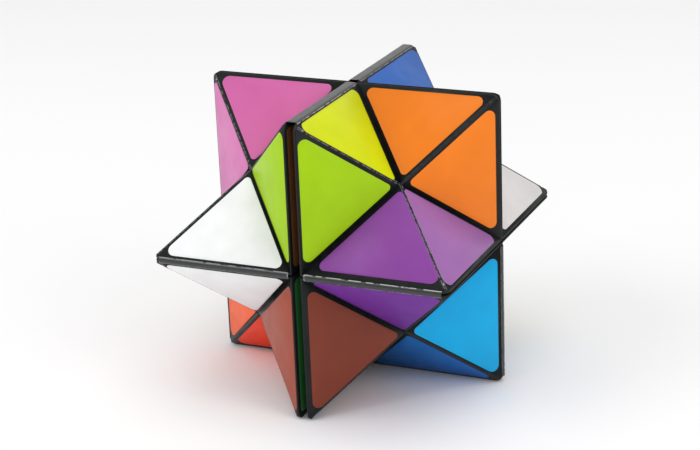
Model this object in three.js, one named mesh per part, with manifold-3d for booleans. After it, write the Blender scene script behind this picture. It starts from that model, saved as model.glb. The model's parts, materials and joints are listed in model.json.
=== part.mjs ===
// Folding star puzzle: a twelve-pointed star made of eight equal hollow segments, joined in a
// closed chain by eight film hinges. Millimetres, +Z up, standing on its lower rims at Z = 0.
//
// The star is centred on a grid of three middle planes. Each segment fills one octant, and is
// drawn once in the positive octant, then mirrored into place. There a star of reach R is the
// set of points whose smallest and largest coordinates add up to R or less, so it has a square
// face on each middle plane and six triangular faces that slope at 45 degrees to them. The left
// and the right half of the star stand a little apart, because the book fold springs open.

import * as THREE from 'three';
import { mergeVertices } from 'three/addons/utils/BufferGeometryUtils.js';
import Module from 'manifold-3d';

const CELL = 35;            // cube cell of one segment: the hinge lines lie on its faces
const HALF_GAP = 0.3;       // half of the slit between neighbouring segments
const SPREAD = 0.75;        // how far the left and the right half each stand off to their side
const RIM_INSET = 0.4;      // flat rims of a segment, in from the outer faces of its cell
const SLOPE_RAISE = 0.1;    // how far the star reaches past the cell, before its rims are cut
const TIP_RADIUS = 1.9;     // rounded star points
const WALL = 1.5;           // wall thickness of both shells
const SEAM = 0.25;          // gap between the two shells of a segment
const RIB_HEIGHT = 1.3;     // locating rib that stands inside the star shell
const RIB_WIDTH = 1.0;
const RIB_CLEARANCE = 0.3;
const GLUE_GAP = 0.05;      // between a shell and the sheet or film on it
const SHEET = 0.15;         // printed label sheet
const LABEL_INSET = 1.8;    // label edge, in from the outer faces of the cell
const VALLEY_MARGIN = 1.5;  // label edge from the valley between two star points, seen in plan
const LABEL_RADIUS = 1.3;
const FILM = 0.1;           // hinge film thickness
const FILM_INSET = 0.12;    // outermost line of a hinge film, in from the cell face
const LEAF_REACH = 0.9;     // end of a film's glued leaf, in from the cell face
const FILM_START = 1.1;     // film's end near the middle of the star face, along the hinge
const FILM_END = 33.2;      // film's end near the star point
const FILM_TRIM = 0.4;      // how far a leaf's trimmed ends stay from the valley and the ridge
const CREASE_GAP = 0.05;    // half gap between the two halves of the film that is slit
const ARC_STEPS = 5;

const REACH = CELL + SLOPE_RAISE;
const ROOT2 = Math.SQRT2;
const FAR = 2 * CELL;
const STAND_HEIGHT = CELL - RIM_INSET;   // star centre above the surface it stands on

const wasm = await Module();
wasm.setup();

// ---- Solids -------------------------------------------------------------------------------

function solidOf(geometry) {
  const bare = geometry.clone();
  bare.deleteAttribute('normal');
  bare.deleteAttribute('uv');
  const merged = mergeVertices(bare, 1e-5);
  const vertProperties = new Float32Array(merged.attributes.position.array);
  const triVerts = new Uint32Array(merged.index.array);
  return new wasm.Manifold(new wasm.Mesh({ numProp: 3, vertProperties, triVerts }));
}

function geometryOf(solid) {
  const { vertProperties, triVerts } = solid.getMesh();
  const geometry = new THREE.BufferGeometry();
  geometry.setAttribute('position', new THREE.BufferAttribute(vertProperties, 3));
  geometry.setIndex(new THREE.BufferAttribute(triVerts, 1));
  return geometry;
}

function box(low, high) {
  const lowPoint = new THREE.Vector3(...low);
  const size = new THREE.Vector3(...high).sub(lowPoint);
  const middle = lowPoint.addScaledVector(size, 0.5);
  return solidOf(new THREE.BoxGeometry(...size).translate(...middle));
}

// The part of space with each coordinate at least the half gap plus an offset.
function insideOf(offset) {
  const low = HALF_GAP + offset;
  return box([low, low, low], [FAR, FAR, FAR]);
}

// One octant of a star of the given reach: three squares and six triangles.
function starOctant(reach) {
  const corners = [
    [0, 0, 0],
    [reach, 0, 0], [0, reach, 0], [0, 0, reach],
    [reach, reach, 0], [0, reach, reach], [reach, 0, reach],
    [reach / 2, reach / 2, reach / 2],
  ];
  const middle = 0;
  const groove = 7;
  const triangles = [];
  for (let axis = 0; axis < 3; axis += 1) {
    const here = 1 + axis;
    const next = 1 + (axis + 1) % 3;
    const point = 4 + axis;                       // star point between the two face middles
    triangles.push(middle, next, point, middle, point, here);
    triangles.push(here, point, groove, next, groove, point);
  }
  const geometry = new THREE.BufferGeometry();
  geometry.setAttribute('position', new THREE.Float32BufferAttribute(corners.flat(), 3));
  geometry.setIndex(triangles);
  return solidOf(geometry);
}

// Turns the coordinates round: X to Y, Y to Z and Z to X, the given number of times.
const AXIS_CYCLE = new THREE.Matrix4().set(0, 0, 1, 0, 1, 0, 0, 0, 0, 1, 0, 0, 0, 0, 0, 1);

function cycled(geometry, times) {
  const turned = geometry.clone();
  for (let turn = 0; turn < times; turn += 1) turned.applyMatrix4(AXIS_CYCLE);
  return turned;
}

// A square prism from the origin with its far corner rounded, tall along Z.
function roundedPrism(side, radius) {
  const outline = new THREE.Shape();
  outline.moveTo(-CELL, -CELL);
  outline.lineTo(side, -CELL);
  outline.lineTo(side, side - radius);
  outline.absarc(side - radius, side - radius, radius, 0, Math.PI / 2);
  outline.lineTo(-CELL, side);
  const options = { depth: FAR, bevelEnabled: false, curveSegments: ARC_STEPS };
  return new THREE.ExtrudeGeometry(outline, options);
}

// Cuts a solid to the given side on all three far sides, with rounded corners in each plan.
function trimmed(solid, side, radius) {
  const prism = roundedPrism(side, radius).translate(0, 0, -CELL / 2);
  let result = solid;
  for (let turn = 0; turn < 3; turn += 1) {
    result = result.intersect(solidOf(cycled(prism, turn)));
  }
  return result;
}

// ---- One segment, in the positive octant --------------------------------------------------

const segmentSolid = trimmed(starOctant(REACH).intersect(insideOf(0)), CELL - RIM_INSET,
  TIP_RADIUS);

function cornerShell() {
  const walls = segmentSolid.subtract(insideOf(WALL));
  const ribReach = REACH - ROOT2 * (WALL + RIB_CLEARANCE);
  const rib = starOctant(ribReach)
    .subtract(starOctant(ribReach - ROOT2 * RIB_WIDTH))
    .intersect(insideOf(WALL / 2))
    .subtract(insideOf(WALL + RIB_HEIGHT));
  return walls.add(rib);
}

function starShell() {
  return segmentSolid.intersect(insideOf(WALL + SEAM)).subtract(starOctant(REACH - ROOT2 * WALL));
}

function foldingFaceLabel() {
  const sheet = insideOf(-GLUE_GAP - SHEET).subtract(insideOf(-GLUE_GAP));
  return trimmed(sheet, CELL - LABEL_INSET, LABEL_RADIUS);
}

// A square pyramid with 45 degree slopes, its base from the origin to (reach, reach).
function pyramid(reach) {
  const cone = new THREE.ConeGeometry(reach / ROOT2, reach / 2, 4, 1);
  cone.rotateY(Math.PI / 4).rotateX(Math.PI / 2);
  return solidOf(cone.translate(reach / 2, reach / 2, reach / 4));
}

// Label of the half star point that lies over the XY square, folded over the point's ridge.
// Its outline is drawn in plan: a right-angled triangle with rounded corners.
function starPointLabel() {
  const side = CELL - LABEL_INSET;
  const foot = REACH + VALLEY_MARGIN - side;      // where the valley edge meets the side
  const r = LABEL_RADIUS;
  const tangent = r * Math.tan(3 * Math.PI / 8);  // from a 45 degree corner to its arc
  const outline = new THREE.Shape();
  outline.moveTo(side, foot + tangent);
  outline.lineTo(side, side - r);
  outline.absarc(side - r, side - r, r, 0, Math.PI / 2);
  outline.lineTo(foot + tangent, side);
  outline.absarc(foot + tangent, side - r, r, Math.PI / 2, 5 * Math.PI / 4);
  outline.absarc(side - r, foot + tangent, r, 5 * Math.PI / 4, 2 * Math.PI);
  const options = { depth: CELL, bevelEnabled: false, curveSegments: ARC_STEPS };
  const prism = solidOf(new THREE.ExtrudeGeometry(outline, options).translate(0, 0, SHEET));
  const under = REACH + ROOT2 * GLUE_GAP;
  return pyramid(under + ROOT2 * SHEET).subtract(pyramid(under)).intersect(prism);
}

// ---- Hinge films --------------------------------------------------------------------------
// Drawn with X in from the cell face, Y across the slit and Z along the hinge, which starts at
// the middle of the star face. Spread is how far each half of the slit stands off to its side.

function filmSolid(spread) {
  const outerLine = SLOPE_RAISE + ROOT2 * (GLUE_GAP + FILM);
  const outerRadius = (FILM_INSET + outerLine) / (ROOT2 - 1);
  const centre = FILM_INSET + outerRadius;
  const innerRadius = outerRadius - FILM;
  const innerLine = outerLine - ROOT2 * FILM;
  const section = new THREE.Shape();
  const leafOuter = LEAF_REACH + outerLine + spread;
  const leafInner = LEAF_REACH + innerLine + spread;
  const [leafSlope, flat, otherSlope] = [3 * Math.PI / 4, Math.PI, 5 * Math.PI / 4];
  section.moveTo(LEAF_REACH, leafOuter);
  section.absarc(centre, spread, outerRadius, leafSlope, flat);
  section.absarc(centre, -spread, outerRadius, flat, otherSlope);
  section.lineTo(LEAF_REACH, -leafOuter);
  section.lineTo(LEAF_REACH, -leafInner);
  section.absarc(centre, -spread, innerRadius, otherSlope, flat, true);
  section.absarc(centre, spread, innerRadius, flat, leafSlope, true);
  section.lineTo(LEAF_REACH, leafInner);
  const options = { depth: CELL, bevelEnabled: false, curveSegments: ARC_STEPS };
  const strip = solidOf(new THREE.ExtrudeGeometry(section, options));

  const halfStart = FILM_START - FILM_TRIM + spread;
  const leafEdge = LEAF_REACH + outerLine;
  const halfEnd = CELL - FILM_TRIM - FILM_END + spread;
  const plan = new THREE.Shape();
  plan.moveTo(FILM_START, -halfStart);
  plan.lineTo(FILM_START + leafEdge, -halfStart - leafEdge);
  plan.lineTo(FILM_END - leafEdge, -halfEnd - leafEdge);
  plan.lineTo(FILM_END, -halfEnd);
  plan.lineTo(FILM_END, halfEnd);
  plan.lineTo(FILM_END - leafEdge, halfEnd + leafEdge);
  plan.lineTo(FILM_START + leafEdge, halfStart + leafEdge);
  plan.lineTo(FILM_START, halfStart);
  const trim = new THREE.ExtrudeGeometry(plan, { depth: CELL, bevelEnabled: false });
  trim.rotateY(-Math.PI / 2).translate(CELL / 2, 0, 0);
  return strip.intersect(solidOf(trim));
}

const plainFilm = filmSolid(0);

// Half of a film that is slit along its crease, on the side that the sign gives.
function filmHalf(sign) {
  const low = sign > 0 ? CREASE_GAP : -CELL;
  const high = sign > 0 ? CELL : -CREASE_GAP;
  return plainFilm.intersect(box([-CELL, low, -CELL], [CELL, high, CELL]));
}

// ---- Colours ------------------------------------------------------------------------------

const DARK = 0x2e3133;
const POINT_COLOURS = {
  front_top: 0xb4d714, front_left: 0xf0f2f1, front_right: 0x8c4f9c, front_bottom: 0xa0503f,
  right_top: 0xef7f2a, left_top: 0xd86da8, right_bottom: 0x00a5de, left_bottom: 0xe8592b,
  back_top: 0x4873be, back_right: 0xd7d3d2, back_left: 0x2f9e6e, back_bottom: 0xe9c62f,
};
const FOLDING_FACE_COLOURS = { upper: 0x764822, lower: 0x265a2e };

function material(color, roughness) {
  return new THREE.MeshStandardMaterial({ color, roughness, metalness: 0 });
}

// ---- Assembly -----------------------------------------------------------------------------

const star = new THREE.Group();
star.position.z = STAND_HEIGHT;

function addMesh(name, geometry, look) {
  const mesh = new THREE.Mesh(geometry, look);
  mesh.name = name;
  star.add(mesh);
}

// Mirrors a positive-octant geometry into the octant with the given signs.
function mirrored(geometry, signs) {
  const placed = geometry.clone().scale(...signs).translate(signs[0] * SPREAD, 0, 0);
  if (signs[0] * signs[1] * signs[2] < 0) {
    const index = placed.index.array;
    for (let first = 0; first < index.length; first += 3) {
      [index[first], index[first + 1]] = [index[first + 1], index[first]];
    }
  }
  return placed;
}

const SIDES = [
  { '-1': 'left', 1: 'right' },
  { '-1': 'front', 1: 'back' },
  { '-1': 'lower', 1: 'upper' },
];
const POINT_ENDS = { left: 'left', right: 'right', upper: 'top', lower: 'bottom' };

// Star point named by its two faces, such as front_top or right_bottom.
function pointName(signs, slitAxis) {
  if (slitAxis === 2) return `${SIDES[1][signs[1]]}_${SIDES[0][signs[0]]}`;
  const first = slitAxis === 0 ? SIDES[1][signs[1]] : SIDES[0][signs[0]];
  return `${first}_${POINT_ENDS[SIDES[2][signs[2]]]}`;
}

const corner = geometryOf(cornerShell());
const outer = geometryOf(starShell());
const faceLabel = geometryOf(foldingFaceLabel());
const pointLabel = geometryOf(starPointLabel());

function addSegment(signs) {
  const name = `${SIDES[1][signs[1]]}_${SIDES[2][signs[2]]}_${SIDES[0][signs[0]]}`;
  addMesh(`${name}_corner_shell`, mirrored(corner, signs), material(DARK, 0.45));
  addMesh(`${name}_star_shell`, mirrored(outer, signs), material(DARK, 0.45));
  const faceColour = FOLDING_FACE_COLOURS[SIDES[2][signs[2]]];
  addMesh(`${name}_folding_face_label`, mirrored(faceLabel, signs), material(faceColour, 0.4));
  for (let slitAxis = 0; slitAxis < 3; slitAxis += 1) {
    const point = pointName(signs, slitAxis);
    const half = SIDES[slitAxis][signs[slitAxis]];
    const turned = cycled(pointLabel, (slitAxis + 1) % 3);
    const look = material(POINT_COLOURS[point], 0.35);
    addMesh(`${point}_point_${half}_label`, mirrored(turned, signs), look);
  }
}

for (const x of [-1, 1]) {
  for (const y of [-1, 1]) {
    for (const z of [-1, 1]) addSegment([x, y, z]);
  }
}

// Each hinge lies on a star face (out) and runs from its middle towards a star point (along).
const HINGES = [
  { name: 'top_front', out: [0, 0, 1], along: [0, -1, 0] },
  { name: 'front_right', out: [0, -1, 0], along: [1, 0, 0] },
  { name: 'right_lower', out: [1, 0, 0], along: [0, 0, -1] },
  { name: 'back_right', out: [0, 1, 0], along: [1, 0, 0] },
  { name: 'top_back', out: [0, 0, 1], along: [0, 1, 0] },
  { name: 'back_left', out: [0, 1, 0], along: [-1, 0, 0] },
  { name: 'front_left', out: [0, -1, 0], along: [-1, 0, 0] },
];
const SLIT_HINGE = { name: 'left_lower', out: [-1, 0, 0], along: [0, 0, -1] };

function hingePlace({ out, along }) {
  const outward = new THREE.Vector3(...out);
  const inward = outward.clone().negate();
  const length = new THREE.Vector3(...along);
  const across = length.clone().cross(inward);
  const start = outward.multiplyScalar(CELL);
  start.x += SPREAD * (out[0] + along[0]);
  return new THREE.Matrix4().makeBasis(inward, across, length).setPosition(start);
}

const bookFilm = filmSolid(SPREAD);
for (const hinge of HINGES) {
  const isBookHinge = hinge.out[2] === 1;
  const film = geometryOf(isBookHinge ? bookFilm : plainFilm).applyMatrix4(hingePlace(hinge));
  addMesh(`${hinge.name}_hinge_film`, film, material(DARK, 0.3));
}
const slitPlace = hingePlace(SLIT_HINGE);
for (const sign of [-1, 1]) {
  const half = geometryOf(filmHalf(sign)).applyMatrix4(slitPlace);
  half.computeBoundingBox();
  const side = half.boundingBox.max.y > 1 ? 'back' : 'front';
  addMesh(`${SLIT_HINGE.name}_hinge_film_${side}_leaf`, half, material(DARK, 0.3));
}

export default star;
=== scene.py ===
"""Looks of the folding star puzzle: printed sheets, panels and hinge films round its shells."""

import json
import math

import bpy
import numpy as np
from mathutils import Matrix, Vector


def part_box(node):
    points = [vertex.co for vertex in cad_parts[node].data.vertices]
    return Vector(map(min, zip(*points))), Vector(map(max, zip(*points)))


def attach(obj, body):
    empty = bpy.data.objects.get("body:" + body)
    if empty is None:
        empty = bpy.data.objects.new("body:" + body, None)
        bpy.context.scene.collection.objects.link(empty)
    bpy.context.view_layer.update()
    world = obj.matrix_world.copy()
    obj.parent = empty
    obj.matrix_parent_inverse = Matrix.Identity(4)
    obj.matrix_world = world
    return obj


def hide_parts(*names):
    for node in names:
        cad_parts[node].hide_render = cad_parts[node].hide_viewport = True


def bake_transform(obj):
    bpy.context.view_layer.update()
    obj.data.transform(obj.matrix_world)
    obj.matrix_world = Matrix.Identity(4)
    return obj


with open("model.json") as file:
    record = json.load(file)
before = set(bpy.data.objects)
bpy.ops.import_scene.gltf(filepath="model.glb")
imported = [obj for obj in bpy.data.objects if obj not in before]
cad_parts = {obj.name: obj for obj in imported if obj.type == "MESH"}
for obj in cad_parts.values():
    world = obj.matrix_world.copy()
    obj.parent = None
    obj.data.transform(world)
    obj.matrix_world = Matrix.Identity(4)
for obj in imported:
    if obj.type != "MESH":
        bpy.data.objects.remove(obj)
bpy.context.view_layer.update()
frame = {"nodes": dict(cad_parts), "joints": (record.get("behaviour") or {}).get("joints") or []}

MM = 0.001
ROOT2 = math.sqrt(2)

# ---- Sizes read from the frame ----------------------------------------------------------------

JOINTS = {joint["name"]: joint for joint in frame["joints"]}
CENTRE = np.array([0.0, 0.0, JOINTS["side_fold"]["pos_m"][2]])
CELL = JOINTS["book_fold_back"]["pos_m"][2] - CENTRE[2]
SAMPLE = "back_upper_right"          # a segment whose three coordinates are all positive
SHELL_LOW, SHELL_HIGH = (np.array(corner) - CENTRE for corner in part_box(f"{SAMPLE}_corner_shell"))
HALF_GAP = float(SHELL_LOW[1])       # half the slit between neighbouring segments
SPREAD = float(SHELL_LOW[0] - SHELL_LOW[1])    # how far each half of the star stands off along X
RIM = float(SHELL_HIGH[1])           # outer side of a square face, from the star's centre


def reach_of(node):
    """Sum of smallest and largest coordinate on the slopes of a node in the positive octant."""
    places = np.array([v.co for v in frame["nodes"][node].data.vertices]) - CENTRE
    places[:, 0] -= SPREAD
    return float((places.min(1) + places.max(1)).max())


REACH = reach_of(f"{SAMPLE}_star_shell")

# ---- Sizes of the printed sheets and films ----------------------------------------------------

SHEET_LIFT = 0.05 * MM        # outer face of a printed sheet above its shell
SHEET_THICK = 0.035 * MM
PRINT_LIFT = 0.075 * MM       # top of a coloured panel above the shell
PRINT_EDGE = 0.04 * MM        # its sloped edge, seen in plan
SHEET_RIM_BACK = 0.1 * MM     # sheet edge back from the rim of the shell
VALLEY_BACK = 0.06 * MM
RIDGE_HALF = 0.3 * MM         # half width of the rounded fold on a ridge, in plan
TIP_RADIUS = 1.9 * MM
FOLD_CORNER = 0.02 * MM       # a sheet's corners where two of its folds or rims meet
PANEL_MARGINS = (1.8, 0.95, 0.75)    # a panel's dark border along rim, valley and ridge, in mm
FOOT_RADIUS = 1.3 * MM        # corners of a panel: near the middle of the star face,
POINT_RADIUS = 1.5 * MM       # near the star point,
GROOVE_RADIUS = 0.9 * MM      # and at the bottom of the groove
SQUARE_MARGIN = 1.2 * MM
SQUARE_RADIUS = 1.2 * MM
ARC_STEPS = 8
FOLD_LINES = 9                # points across the rounded fold on a ridge,
RIDGE_STEPS = 12              # and steps along it
SHELL_EDGE = 0.1 * MM         # rounding of the corner shells' edges
RIDGE_EDGE = 0.4 * MM         # and of the star shells'
EDGE_SEGMENTS = 3
EDGE_ANGLE = math.radians(25)  # only edges sharper than this are rounded

FILM = 0.08 * MM
FILM_GAP = 0.07 * MM          # film off the sheet below it
FILM_INSET = 0.12 * MM        # outermost line of a film, in from the cell face
LEAF_REACH = 0.55 * MM
LEAF_EDGE = 0.03 * MM         # thickness that the leaf tapers to
FILM_START = 1.1 * MM
FILM_END = 33.2 * MM
FILM_TRIM = 0.4 * MM
CREASE_GAP = 0.05 * MM
FILM_WRINKLE = 0.03 * MM
FILM_LENGTH_STEPS = 110
FILM_ARC_STEPS = 11
FILM_LEAF_STEPS = 3
GLINT_HALF = 0.05 * MM        # half width of the painted glint where the film bends off its leaf
CUT_GLINT_REACH = 0.2 * MM           # how far the painted highlight reaches in from a film's cut end

SIDES = (("left", "right"), ("front", "back"), ("lower", "upper"))
ENDS = {"lower": "bottom", "upper": "top"}

# ---- Colours ----------------------------------------------------------------------------------


def linear(red, green, blue):
    """A display colour, 0 to 255, as linear light."""
    return tuple(((c / 255 + 0.055) / 1.055) ** 2.4 if c > 10 else c / 255 / 12.92
                 for c in (red, green, blue))


# Each star point's panels, by the face of the cell that they slope up to. Apart from front_top,
# whose yellow top is a print of its own, where a point's two colours differ the difference is
# painted light: the lighter right panel of front_right and left panel of left_top are painted
# sheen, and the darker bottom panels of front_bottom, right_bottom and left_bottom are painted
# shade.
POINT_COLOURS = {
    "front_top": {"front": (166, 210, 0), "top": (211, 222, 0)},
    "front_left": {"front": (243, 244, 245), "left": (243, 244, 245)},
    "front_right": {"front": (135, 66, 153), "right": (160, 106, 172)},
    "front_bottom": {"front": (164, 77, 57), "bottom": (150, 70, 52)},
    "right_top": {"top": (234, 122, 8), "right": (248, 130, 26)},
    "left_top": {"top": (203, 98, 161), "left": (218, 120, 182)},
    "right_bottom": {"right": (0, 172, 230), "bottom": (0, 101, 180)},
    "left_bottom": {"left": (252, 91, 20), "bottom": (252, 58, 0)},
    "back_top": {"back": (52, 101, 182), "top": (52, 101, 182)},
    "back_right": {"back": (220, 217, 216), "right": (220, 217, 216)},
    "back_left": {"back": (40, 160, 112), "left": (40, 160, 112)},
    "back_bottom": {"back": (238, 202, 40), "bottom": (238, 202, 40)},
}
# The halves of two points painted darker than the other half, as painted shade: the lower half of
# front_right, which faces down, and the right half of front_bottom, under front_right.
SHADED_HALF_COLOURS = {
    ("front_right", "lower"): {"front": (112, 46, 150), "right": (120, 56, 154)},
    ("front_bottom", "right"): {"front": (127, 56, 38), "bottom": (127, 56, 38)},
}
FACE_COLOURS = {"upper": (120, 74, 40), "lower": (50, 116, 60)}
DARK = (20, 23, 24)
# Pale grey painted on film bends as painted highlight, and on ridges as painted highlight and wear.
HIGHLIGHT_AND_WEAR_GREY = (205, 205, 208)


# ---- Materials --------------------------------------------------------------------------------


class Look:
    """A node material on one principled shader, with helpers that link procedural detail to it."""

    def __init__(self, name):
        self.material = bpy.data.materials.new(name)
        self.material.use_nodes = True
        self.tree = self.material.node_tree
        self.shader = self.tree.nodes["Principled BSDF"]
        self.place = self.tree.nodes.new("ShaderNodeTexCoord").outputs["Object"]

    def link(self, source, target):
        self.tree.links.new(source, target)

    def noise(self, scale, detail=3.0, stretch=None):
        node = self.tree.nodes.new("ShaderNodeTexNoise")
        node.inputs["Scale"].default_value = scale
        node.inputs["Detail"].default_value = detail
        place = self.place
        if stretch:
            mapping = self.tree.nodes.new("ShaderNodeMapping")
            mapping.inputs["Scale"].default_value = stretch
            self.link(self.place, mapping.inputs["Vector"])
            place = mapping.outputs["Vector"]
        self.link(place, node.inputs["Vector"])
        return node.outputs["Fac"]

    def spread(self, value, low, high, start=0.3, end=0.7):
        """Maps a 0 to 1 value between start and end onto low to high."""
        node = self.tree.nodes.new("ShaderNodeMapRange")
        node.inputs["From Min"].default_value = start
        node.inputs["From Max"].default_value = end
        node.inputs["To Min"].default_value = low
        node.inputs["To Max"].default_value = high
        self.link(value, node.inputs["Value"])
        return node.outputs["Result"]

    def product(self, first, second):
        node = self.tree.nodes.new("ShaderNodeMath")
        node.operation = "MULTIPLY"
        self.link(first, node.inputs[0])
        self.link(second, node.inputs[1])
        return node.outputs[0]

    def mix(self, share, first, second):
        """A colour between two, each a colour or a node's output."""
        node = self.tree.nodes.new("ShaderNodeMix")
        node.data_type = "RGBA"
        self.link(share, node.inputs["Factor"])
        for socket, value in zip((node.inputs[6], node.inputs[7]), (first, second)):
            if isinstance(value, tuple):
                socket.default_value = (*value, 1.0)
            else:
                self.link(value, socket)
        return node.outputs[2]

    def bump(self, height, distance, strength=1.0, below=None):
        node = self.tree.nodes.new("ShaderNodeBump")
        node.inputs["Distance"].default_value = distance
        node.inputs["Strength"].default_value = strength
        self.link(height, node.inputs["Height"])
        if below is not None:
            self.link(below, node.inputs["Normal"])
        return node.outputs["Normal"]

    def attribute(self, name):
        node = self.tree.nodes.new("ShaderNodeAttribute")
        node.attribute_name = name
        return node.outputs["Fac"]

    def finish(self, roughness, normal, coat, coat_roughness, specular):
        shader = self.shader.inputs
        self.link(roughness, shader["Roughness"])
        self.link(normal, shader["Normal"])
        shader["Coat Weight"].default_value = coat
        shader["Coat Roughness"].default_value = coat_roughness
        shader["Specular IOR Level"].default_value = specular
        return self.material


def shaded(colour, factor):
    return tuple(min(1.0, channel * factor) for channel in colour)


def printed(name, display_colour):
    """Coloured print under a thin clear film, in the colour given, which on some panels also holds
    painted sheen and on others painted shade: faint mottling, fine grain and a soft gloss.
    """
    look = Look(name)
    colour = linear(*display_colour)
    mottle = look.spread(look.noise(140, 4), 0, 1)
    base = look.mix(mottle, shaded(colour, 0.95), shaded(colour, 1.04))
    speck = look.spread(look.noise(5200, 2), 0, 0.22, 0.56, 0.72)
    base = look.mix(speck, base, shaded(colour, 0.82))
    look.link(base, look.shader.inputs["Base Color"])
    grain = look.bump(look.noise(4200, 3), 0.01 * MM, 0.5)
    waves = look.bump(look.noise(95, 2), 0.12 * MM, 0.5, grain)
    roughness = look.spread(look.noise(260, 4), 0.36, 0.5)
    return look.finish(roughness, waves, coat=0.05, coat_roughness=0.2, specular=0.22)


def dark_sheet(name, highlight_and_wear_scale, highlight_and_wear, roughness, coat, specular, tone=1.0):
    """Dark film, painted pale where its crease attribute is high (painted highlight on film bends,
    painted highlight and wear on ridges), with streaks and fine scratches.

    The range after the scale is the part of the noise where these pale marks set in and are
    complete, roughness its two ends.
    """
    look = Look(name)
    dark = shaded(linear(*DARK), tone)
    base = look.mix(look.spread(look.noise(700, 4), 0, 1), shaded(dark, 0.75), shaded(dark, 1.35))
    # Where the crease attribute is high, noise patches turn the sheet pale grey: painted highlight,
    # with wear on the ridges.
    crease = look.attribute("crease")
    patches = look.spread(look.noise(highlight_and_wear_scale, 3), 0, 1, *highlight_and_wear)
    base = look.mix(look.product(crease, patches), base, linear(*HIGHLIGHT_AND_WEAR_GREY))
    look.link(base, look.shader.inputs["Base Color"])
    scratches = look.noise(900, 5, (1.0, 6.0, 1.0))
    grain = look.bump(look.noise(3600, 3), 0.012 * MM, 0.6)
    normal = look.bump(scratches, 0.02 * MM, 0.5, grain)
    gloss = look.spread(look.noise(420, 4), *roughness)
    return look.finish(gloss, normal, coat, coat_roughness=0.22, specular=specular)


SHEET_DARK = dark_sheet("sheet_dark", 1500, (0.43, 0.53), (0.36, 0.5), coat=0.04, specular=0.22)
# The folding faces' dark sheet, at half the tone of the others: painted shade of the slits they lie
# in.
SHADED_FACE_DARK = dark_sheet("face_dark_painted_shade", 1500, (0.5, 0.62), (0.5, 0.6), coat=0.0, specular=0.12,
                       tone=0.5)
SHELL_DARK = dark_sheet("shell_dark", 1500, (0.5, 0.62), (0.44, 0.58), coat=0.0, specular=0.3)
FILM_DARK = dark_sheet("film_dark", 620, (0.42, 0.52), (0.2, 0.34), coat=0.5, specular=0.5)

# ---- Mesh helpers -----------------------------------------------------------------------------


class Sketch:
    """A mesh in the making: points, faces, each face's material and each point's crease value."""

    def __init__(self):
        self.points = []
        self.faces = []
        self.looks = []
        self.creases = []

    def add(self, points, faces, look=0, creases=None):
        first = len(self.points)
        self.points.extend(tuple(point) for point in points)
        self.faces.extend(tuple(first + index for index in face) for face in faces)
        self.looks.extend([look] * len(faces))
        self.creases.extend(creases if creases is not None else [0.0] * len(points))

    def build(self, name, materials, flip=False):
        mesh = bpy.data.meshes.new(name)
        faces = [face[::-1] for face in self.faces] if flip else self.faces
        mesh.from_pydata(self.points, [], faces)
        for material in materials:
            mesh.materials.append(material)
        mesh.polygons.foreach_set("material_index", self.looks)
        mesh.polygons.foreach_set("use_smooth", [True] * len(faces))
        mesh.attributes.new("crease", "FLOAT", "POINT").data.foreach_set("value", self.creases)
        mesh.update()
        obj = bpy.data.objects.new(name, mesh)
        bpy.context.scene.collection.objects.link(obj)
        return obj


def modifier(obj, kind, **settings):
    added = obj.modifiers.new(kind.lower(), kind)
    for setting, value in settings.items():
        setattr(added, setting, value)


def rounded_bevel(obj, width):
    modifier(obj, "BEVEL", width=width, segments=EDGE_SEGMENTS, limit_method="ANGLE",
             angle_limit=EDGE_ANGLE, harden_normals=False)
    modifier(obj, "WEIGHTED_NORMAL", keep_sharp=True, weight=80)


def line_meeting(first, second):
    """Where two lines (a, b, c) with a s + b t = c cross."""
    (a, b, c), (d, e, f) = first, second
    whole = a * e - b * d
    return np.array([(c * e - b * f) / whole, (a * f - c * d) / whole])


def rounded_outline(corners, radii):
    """Corner points of a convex outline, in order, with each corner replaced by an arc."""
    outline = []
    count = len(corners)
    for index, (corner, radius) in enumerate(zip(corners, radii)):
        back = corners[index - 1] - corner
        ahead = corners[(index + 1) % count] - corner
        back, ahead = back / np.linalg.norm(back), ahead / np.linalg.norm(ahead)
        half = math.acos(float(np.clip(back @ ahead, -1, 1))) / 2
        middle = (back + ahead) / np.linalg.norm(back + ahead)
        centre = corner + middle * radius / math.sin(half)
        start = corner + back * radius / math.tan(half) - centre
        end = corner + ahead * radius / math.tan(half) - centre
        turn = math.atan2(start[0] * end[1] - start[1] * end[0], float(start @ end))
        for step in range(ARC_STEPS + 1):
            angle = turn * step / ARC_STEPS
            c, s = math.cos(angle), math.sin(angle)
            outline.append(centre + np.array([c * start[0] - s * start[1],
                                              s * start[0] + c * start[1]]))
    return outline


# ---- Star point labels ------------------------------------------------------------------------
# A label is drawn over the XY square of the positive octant, where the slit is at Z = 0. Its two
# triangles slope up from the rims X = RIM and Y = RIM and meet on the ridge X = Y. A panel is
# drawn flat, with s along the rim and t up the slope.

SLOPE_LENGTH = math.sqrt(1.5)      # length of the valley for each unit of t / ROOT2


def on_slope(s, t, lift):
    reach = REACH + ROOT2 * lift
    return np.array([reach - t / ROOT2, s, t / ROOT2])


def swapped(points):
    """The same points on the label's other triangle."""
    return [(point[1], point[0], point[2]) for point in points]


def panel_outline(rim_margin, valley_margin, ridge_margin, grow=0.0):
    first_t = (REACH - RIM) * ROOT2 + rim_margin - grow
    rim = (0.0, 1.0, first_t)
    valley = (1.0, -1 / ROOT2, SLOPE_LENGTH * (valley_margin - grow))
    ridge = (1.0, 1 / ROOT2, REACH - SLOPE_LENGTH * (ridge_margin - grow))
    corners = [line_meeting(valley, rim), line_meeting(rim, ridge), line_meeting(ridge, valley)]
    radii = [FOOT_RADIUS + grow, POINT_RADIUS + grow, GROOVE_RADIUS + grow]
    return rounded_outline(corners, radii)


def panel_faces(count):
    sides = [(i, (i + 1) % count, count + (i + 1) % count, count + i) for i in range(count)]
    return [*sides, tuple(range(count, 2 * count))]


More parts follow.
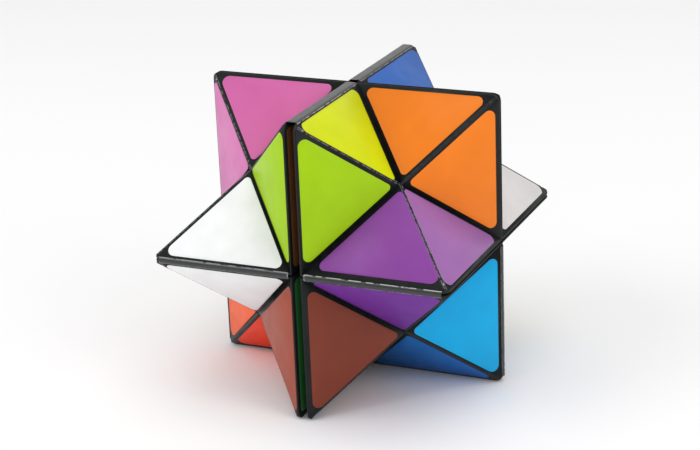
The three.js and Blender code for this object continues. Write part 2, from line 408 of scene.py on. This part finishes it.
def add_panel(sketch, margins, other_side, look):
    low = [on_slope(s, t, SHEET_LIFT) for s, t in panel_outline(*margins, grow=PRINT_EDGE)]
    top = [on_slope(s, t, PRINT_LIFT) for s, t in panel_outline(*margins)]
    points = low + top
    faces = panel_faces(len(low))
    if other_side:
        points = swapped(points)
        faces = [face[::-1] for face in faces]
    sketch.add(points, faces, look)


def fold_height(across):
    """How far the rounded fold lies under the sharp ridge, across in plan from it."""
    return max(0.0, 2 * RIDGE_HALF - abs(across)) ** 2 / (8 * RIDGE_HALF)


def sheet_point(sum_xy, across):
    x, y = (sum_xy + across) / 2, (sum_xy - across) / 2
    height = REACH + ROOT2 * SHEET_LIFT - max(x, y) - fold_height(across)
    return (x, y, height)


def tip_sum(across, side):
    """X + Y on the rounded star point of a square of that side, at X - Y = across."""
    return 2 * (side - TIP_RADIUS) + math.sqrt(max(0.0, 2 * TIP_RADIUS ** 2 - across ** 2))


def add_star_sheet(sketch, highlight_and_wear_strength):
    """The dark sheet under a label's panels, over both triangles and the fold between them."""
    side = RIM - SHEET_RIM_BACK
    foot = REACH + VALLEY_BACK
    fold = 2 * RIDGE_HALF
    acrosses = np.linspace(-fold, fold, FOLD_LINES)
    last = math.pi / 4 - math.asin(fold / (TIP_RADIUS * ROOT2))
    arc = [side - TIP_RADIUS + TIP_RADIUS * np.array([math.cos(a), math.sin(a)])
           for a in np.linspace(0, last, ARC_STEPS + 1)]
    plan = [(side, foot - side), *arc, ((foot + fold) / 2, (foot - fold) / 2)]
    triangle = [sheet_point(x + y, x - y) for x, y in plan]
    whole = tuple(range(len(triangle)))
    sketch.add(triangle, [whole])
    sketch.add(swapped(triangle), [whole[::-1]])
    grid, highlight_and_wear = [], []
    for across in acrosses:
        tip = tip_sum(across, side)
        for step in range(RIDGE_STEPS + 1):
            grid.append(sheet_point(tip + (foot - tip) * step / RIDGE_STEPS, across))
            # Palest on the middle of the fold: painted highlight and wear.
            highlight_and_wear.append(highlight_and_wear_strength * max(0.0, 1 - abs(across) / fold) ** 2)
    row = RIDGE_STEPS + 1
    faces = [(i * row + j, (i + 1) * row + j, (i + 1) * row + j + 1, i * row + j + 1)
             for i in range(len(acrosses) - 1) for j in range(RIDGE_STEPS)]
    sketch.add(grid, [face[::-1] for face in faces], 0, highlight_and_wear)


def placed(points, slit, signs):
    """Positive-octant points with the slit at Z = 0, turned to that slit and put into an octant."""
    turned = np.roll(np.array(points, float), (slit + 1) % 3, axis=1)
    return turned * np.array(signs) + CENTRE + np.array([signs[0] * SPREAD, 0.0, 0.0])


def is_mirrored(signs):
    return signs[0] * signs[1] * signs[2] < 0


def side_word(signs, axis):
    return SIDES[axis][signs[axis] > 0]


def end_word(signs, axis):
    word = side_word(signs, axis)
    return ENDS.get(word, word)


def point_name(signs, slit):
    """A star point's name: its two faces, front or back first, then left or right, then top."""
    if slit == 2:
        return f"{side_word(signs, 1)}_{side_word(signs, 0)}"
    first = side_word(signs, 1 if slit == 0 else 0)
    return f"{first}_{end_word(signs, 2)}"


# Star point halves whose fold is painted pale, as painted highlight and wear; on the others only a
# faint trace of it shows.
HIGHLIGHT_AND_WEAR_RIDGES = {("front_top", "right"), ("front_right", "upper"), ("left_top", "front"),
               ("front_left", "upper")}
FAINT_HIGHLIGHT_AND_WEAR = 0.12


# Panels printed off their fold: margins to the rim, the valley and the ridge, in millimetres.
OFF_PRINTS = {
    ("front_top", "right"): {"top": (0.7, 1.2, 0.1), "front": (0.75, 0.9, 1.25)},
    ("front_top", "left"): {"top": (1.2, 1.0, 0.5), "front": (0.5, 0.6, 0.5)},
    ("front_right", "upper"): {"front": (1.8, 0.95, 0.3), "right": (0.85, 0.6, 0.3)},
    ("front_right", "lower"): {"front": (0.45, 0.8, 0.6), "right": (1.7, 0.8, 0.6)},
    ("front_left", "upper"): {"front": (1.0, 0.75, 0.9), "left": (1.9, 0.8, 0.8)},
    ("front_left", "lower"): {"front": (1.1, 0.8, 0.25), "left": (1.9, 0.8, 0.6)},
    ("front_bottom", "left"): {"front": (0.3, 0.9, 0.3), "bottom": (1.9, 0.9, 0.8)},
    ("front_bottom", "right"): {"front": (1.3, 1.0, 0.45), "bottom": (1.9, 0.9, 0.8)},
    ("left_top", "front"): {"top": (1.0, 1.1, 1.0), "left": (0.6, 0.7, 0.4)},
    ("left_bottom", "front"): {"left": (1.2, 0.9, 0.8), "bottom": (1.4, 0.9, 0.8)},
    ("right_bottom", "front"): {"right": (1.15, 1.0, 0.7), "bottom": (1.0, 1.0, 0.7)},
    ("right_top", "front"): {"top": (1.0, 1.0, 1.0), "right": (1.2, 1.0, 0.9)},
    ("back_top", "right"): {"top": (0.75, 1.0, 0.3), "back": (1.2, 1.0, 0.6)},
    ("back_right", "upper"): {"right": (1.0, 0.9, 0.5), "back": (1.4, 0.9, 0.6)},
}


def star_point_label(signs, slit, body):
    point = point_name(signs, slit)
    half = side_word(signs, slit)
    node = f"{point}_point_{half}_label"
    sketch = Sketch()
    add_star_sheet(sketch, 1.0 if (point, half) in HIGHLIGHT_AND_WEAR_RIDGES else FAINT_HIGHLIGHT_AND_WEAR)
    materials = [SHEET_DARK]
    for other_side in (False, True):
        axis = (slit + (2 if other_side else 1)) % 3
        facing = end_word(signs, axis)
        margins = OFF_PRINTS.get((point, half), {}).get(facing, PANEL_MARGINS)
        # Two halves take darker colours, painted shade, from the table after POINT_COLOURS.
        colours = SHADED_HALF_COLOURS.get((point, half), POINT_COLOURS[point])
        materials.append(printed(f"{node}_{facing}_print", colours[facing]))
        add_panel(sketch, [margin * MM for margin in margins], other_side, len(materials) - 1)
    sketch.points = [tuple(p) for p in placed(sketch.points, slit, signs)]
    obj = sketch.build(f"{node}_print", materials, is_mirrored(signs))
    modifier(obj, "SOLIDIFY", thickness=SHEET_THICK, offset=-1)
    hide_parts(node)
    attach(obj, body)


# ---- Folding face labels ----------------------------------------------------------------------


def square_outline(low, high, radius, far_radius):
    """A square's outline with rounded corners, its far corner with a radius of its own."""
    corners = [np.array(corner) for corner in ((low, low), (high, low), (high, high), (low, high))]
    return rounded_outline(corners, [radius, radius, far_radius, radius])


def folding_face_label(signs, body):
    name = "_".join(side_word(signs, axis) for axis in (1, 2, 0))
    colour = FACE_COLOURS[side_word(signs, 2)]
    materials = [SHADED_FACE_DARK, printed(f"{name}_folding_face_print", colour)]
    sketch = Sketch()
    side = RIM - SHEET_RIM_BACK
    low = HALF_GAP - SHEET_LIFT
    outline = square_outline(low, side, FOLD_CORNER, TIP_RADIUS)
    for slit in range(3):
        sheet = placed([(x, y, low) for x, y in outline], slit, signs)
        sketch.add(sheet, [tuple(range(len(sheet)))[::-1]])
        panel = []
        for grow, lift in ((PRINT_EDGE, SHEET_LIFT), (0.0, PRINT_LIFT)):
            inner, outer = HALF_GAP + SQUARE_MARGIN - grow, side - SQUARE_MARGIN + grow
            radius = SQUARE_RADIUS + grow
            loop = square_outline(inner, outer, radius, radius)
            panel += [(x, y, HALF_GAP - lift) for x, y in loop]
        faces = [face[::-1] for face in panel_faces(len(panel) // 2)]
        sketch.add(placed(panel, slit, signs), faces, 1)
    node = f"{name}_folding_face_label"
    obj = sketch.build(f"{node}_print", materials, is_mirrored(signs))
    modifier(obj, "SOLIDIFY", thickness=SHEET_THICK, offset=-1)
    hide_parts(node)
    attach(obj, body)


# ---- Hinge films ------------------------------------------------------------------------------
# A film is drawn with u in from the cell face, v across the slit and w along the hinge.


def film_section(spread):
    """The film's outer line across the slit: points (u, v), outward directions and thickness."""
    outer_line = REACH - CELL + ROOT2 * (FILM_GAP + FILM)
    radius = (FILM_INSET + outer_line) / (ROOT2 - 1)
    middle = FILM_INSET + radius
    leaf_start = middle - radius / ROOT2
    section = []
    for step in range(FILM_LEAF_STEPS, 0, -1):
        share = step / FILM_LEAF_STEPS
        u = leaf_start + (LEAF_REACH - leaf_start) * share
        thick = FILM + (LEAF_EDGE - FILM) * share
        sunk = (FILM - thick) / ROOT2
        section.append((u + sunk, u + outer_line + spread - sunk, -1 / ROOT2, 1 / ROOT2, thick))
    for step in range(FILM_ARC_STEPS + 1):
        angle = math.pi * (0.75 + 0.25 * step / FILM_ARC_STEPS)
        c, s = math.cos(angle), math.sin(angle)
        section.append((middle + radius * c, radius * s + spread, c, s, FILM))
    first = len(section) - (spread == 0)
    mirrored = [(u, -v, c, -s, thick) for u, v, c, s, thick in section[:first]]
    return section + mirrored[::-1], radius / ROOT2 + spread


def wrinkle(v, w, seed):
    """Small waves along the film, all of them inwards."""
    phase = 1.7 * seed
    long_wave = math.sin(w / (2.9 * MM) + phase) + math.sin(w / (1.13 * MM) + 2.3 * phase)
    cross = math.cos(v / (0.8 * MM) + math.sin(w / (4.1 * MM) + phase))
    return FILM_WRINKLE * (0.5 + 0.17 * long_wave + 0.16 * cross)


# How strong the painted glint is where a film bends off its leaves and at its cut end; on the other
# films only a faint one shows.
FILM_GLINT = {"front_right_hinge_film": 1.0, "top_front_hinge_film": 0.7,
             "front_left_hinge_film": 0.55, "top_back_hinge_film": 0.35}


def film_piece(name, out, along, seed, half=None):
    """The film's mesh. half keeps one side of the crease: +1 or -1 across the slit."""
    inward, length = -np.array(out, float), np.array(along, float)
    across = np.cross(length, inward)
    origin = CENTRE + CELL * np.array(out, float)
    origin[0] += SPREAD * (out[0] + along[0])
    spread = SPREAD if out[2] else 0.0
    section, bend = film_section(spread)
    highlight_and_wear_strength = FILM_GLINT.get(name, FAINT_HIGHLIGHT_AND_WEAR)
    if half is not None:
        section = [row for row in section if half * row[1] > CREASE_GAP]
    outer, inner, highlight_and_wear = [], [], []
    for u, v, du, dv, thick in section:
        off_side = max(0.0, abs(v) - spread)
        start = max(FILM_START, off_side + FILM_TRIM)
        end = min(FILM_END, CELL - FILM_TRIM - off_side)
        for step in range(FILM_LENGTH_STEPS + 1):
            w = start + (end - start) * step / FILM_LENGTH_STEPS
            drop = wrinkle(v, w, seed)
            outer.append((u - du * drop, v - dv * drop, w))
            inner.append((u - du * (drop + thick), v - dv * (drop + thick), w))
            # A painted glint along each bend off a leaf, and a painted highlight at the film's cut
            # end.
            line = math.exp(-((abs(v) - bend) / GLINT_HALF) ** 2)
            cut_edge = math.exp(-((w - start) / CUT_GLINT_REACH) ** 2) * (abs(v) < bend)
            highlight_and_wear.append(highlight_and_wear_strength * min(1.0, line + cut_edge))
    rows, row = len(section), FILM_LENGTH_STEPS + 1
    count = rows * row
    faces = []
    for i in range(rows - 1):
        for j in range(row - 1):
            a, b = i * row + j, (i + 1) * row + j
            faces.append((a, a + 1, b + 1, b))
            faces.append((count + a, count + b, count + b + 1, count + a + 1))
    for j in range(row - 1):
        last = (rows - 1) * row + j
        faces.append((j, count + j, count + j + 1, j + 1))
        faces.append((last, last + 1, count + last + 1, count + last))
    for i in range(rows - 1):
        a, b = i * row, (i + 1) * row
        faces.append((a, b, count + b, count + a))
        a, b = a + row - 1, b + row - 1
        faces.append((a, count + a, count + b, b))
    sketch = Sketch()
    basis = np.array([inward, across, length])
    points = np.array(outer + inner) @ basis + origin
    sketch.add(points, faces, 0, highlight_and_wear + highlight_and_wear)
    return sketch.build(f"{name}_bent", [FILM_DARK]), across


def make_films():
    for seed, joint in enumerate(JOINTS.values()):
        node = joint["deforming_nodes"][0]["node"]
        spot = np.array(joint["pos_m"]) - CENTRE
        out = np.round(spot / CELL)
        low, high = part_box(node)
        axis = np.abs(np.array(joint["axis"], float))
        middle = (np.array(low) + np.array(high)) / 2 - CENTRE
        along = axis * np.sign(middle @ axis)
        obj, across = film_piece(node, out, along, seed)
        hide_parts(node)
        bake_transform(obj)
    for side, body in (("front", "front_lower_left_segment"), ("back", "back_lower_left_segment")):
        node = f"left_lower_hinge_film_{side}_leaf"
        out, along = np.array([-1.0, 0.0, 0.0]), np.array([0.0, 0.0, -1.0])
        across = np.cross(along, -out)
        half = np.sign(body_signs(body) @ across)
        obj, _ = film_piece(node, out, along, len(JOINTS), half)
        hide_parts(node)
        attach(obj, body)


def body_signs(body):
    words = body.split("_")
    return np.array([SIDES[axis].index(words[place]) * 2.0 - 1
                     for axis, place in ((0, 2), (1, 0), (2, 1))])


# ---- Shells -----------------------------------------------------------------------------------


def dress_shells():
    for name, node in frame["nodes"].items():
        if not name.endswith("_shell"):
            continue
        node.data.materials.clear()
        node.data.materials.append(SHELL_DARK)
        rounded_bevel(node, RIDGE_EDGE if name.endswith("star_shell") else SHELL_EDGE)


# ---- Stage ------------------------------------------------------------------------------------

AZIMUTH = math.radians(23.95)
ELEVATION = math.radians(19.97)
ROLL = 0.0391
DISTANCE = 0.4547
FOCAL_SHARE = 2.7877          # focal length as a share of the picture's width
SENSOR = 36.0
SHIFT = (-0.0120, 0.0)
FLOOR_HALF = 1.5
FLOOR_TONES = (0.95, 0.97)    # its grey wanders between these
WORLD_STRENGTH = 0.66
LIGHTS = {                    # place, size and power of each soft light
    "key_light": ((-0.55, -0.5, 0.6), (0.5, 0.5), 2.1),
    "top_light": ((0.1, 0.05, 0.9), (0.7, 0.7), 2.05),
    "right_light": ((0.7, -0.25, 0.45), (0.4, 0.5), 1.25),
}


def make_camera():
    back = Vector((math.sin(AZIMUTH) * math.cos(ELEVATION),
                   -math.cos(AZIMUTH) * math.cos(ELEVATION), math.sin(ELEVATION)))
    right = (-back).cross(Vector((0, 0, 1))).normalized()
    up = right.cross(-back)
    turned_right = right * math.cos(ROLL) - up * math.sin(ROLL)
    turned_up = right * math.sin(ROLL) + up * math.cos(ROLL)
    data = bpy.data.cameras.new("camera")
    data.sensor_width = SENSOR
    data.lens = FOCAL_SHARE * SENSOR
    data.shift_x, data.shift_y = SHIFT
    data.dof.use_dof = False
    data.clip_start = 0.01
    camera = bpy.data.objects.new("camera", data)
    rotation = Matrix((turned_right, turned_up, back)).transposed().to_4x4()
    camera.matrix_world = Matrix.Translation(Vector(CENTRE) + back * DISTANCE) @ rotation
    bpy.context.scene.collection.objects.link(camera)
    bpy.context.scene.camera = camera


def soft_light(name, place, size, power):
    data = bpy.data.lights.new(name, "AREA")
    data.shape = "RECTANGLE"
    data.size, data.size_y = size
    data.energy = power
    light = bpy.data.objects.new(name, data)
    light.location = place
    light.rotation_euler = (Vector(CENTRE) - Vector(place)).to_track_quat("-Z", "Y").to_euler()
    bpy.context.scene.collection.objects.link(light)


def make_stage():
    mesh = bpy.data.meshes.new("floor")
    corners = [(x * FLOOR_HALF, y * FLOOR_HALF, 0) for x, y in ((-1, -1), (1, -1), (1, 1), (-1, 1))]
    mesh.from_pydata(corners, [], [(0, 1, 2, 3)])
    floor = bpy.data.objects.new("floor", mesh)
    look = Look("floor_pale")
    pale = look.mix(look.spread(look.noise(3, 2), 0, 1), *((tone,) * 3 for tone in FLOOR_TONES))
    look.link(pale, look.shader.inputs["Base Color"])
    look.shader.inputs["Roughness"].default_value = 0.9
    look.shader.inputs["Specular IOR Level"].default_value = 0.1
    mesh.materials.append(look.material)
    bpy.context.scene.collection.objects.link(floor)
    world = bpy.data.worlds.new("studio")
    world.use_nodes = True
    background = world.node_tree.nodes["Background"]
    background.inputs["Color"].default_value = (1, 1, 1, 1)
    background.inputs["Strength"].default_value = WORLD_STRENGTH
    bpy.context.scene.world = world
    for name, (place, size, power) in LIGHTS.items():
        soft_light(name, place, size, power)
    bpy.context.scene.view_settings.view_transform = "Standard"
    bpy.context.scene.view_settings.look = "None"


# ---- Assembly ---------------------------------------------------------------------------------

OCTANTS = [(x, y, z) for x in (-1, 1) for y in (-1, 1) for z in (-1, 1)]
for signs in OCTANTS:
    body = "_".join(side_word(signs, axis) for axis in (1, 2, 0)) + "_segment"
    folding_face_label(signs, body)
    for slit in range(3):
        star_point_label(signs, slit, body)
make_films()
dress_shells()
make_stage()
make_camera()

bpy.context.view_layer.update()
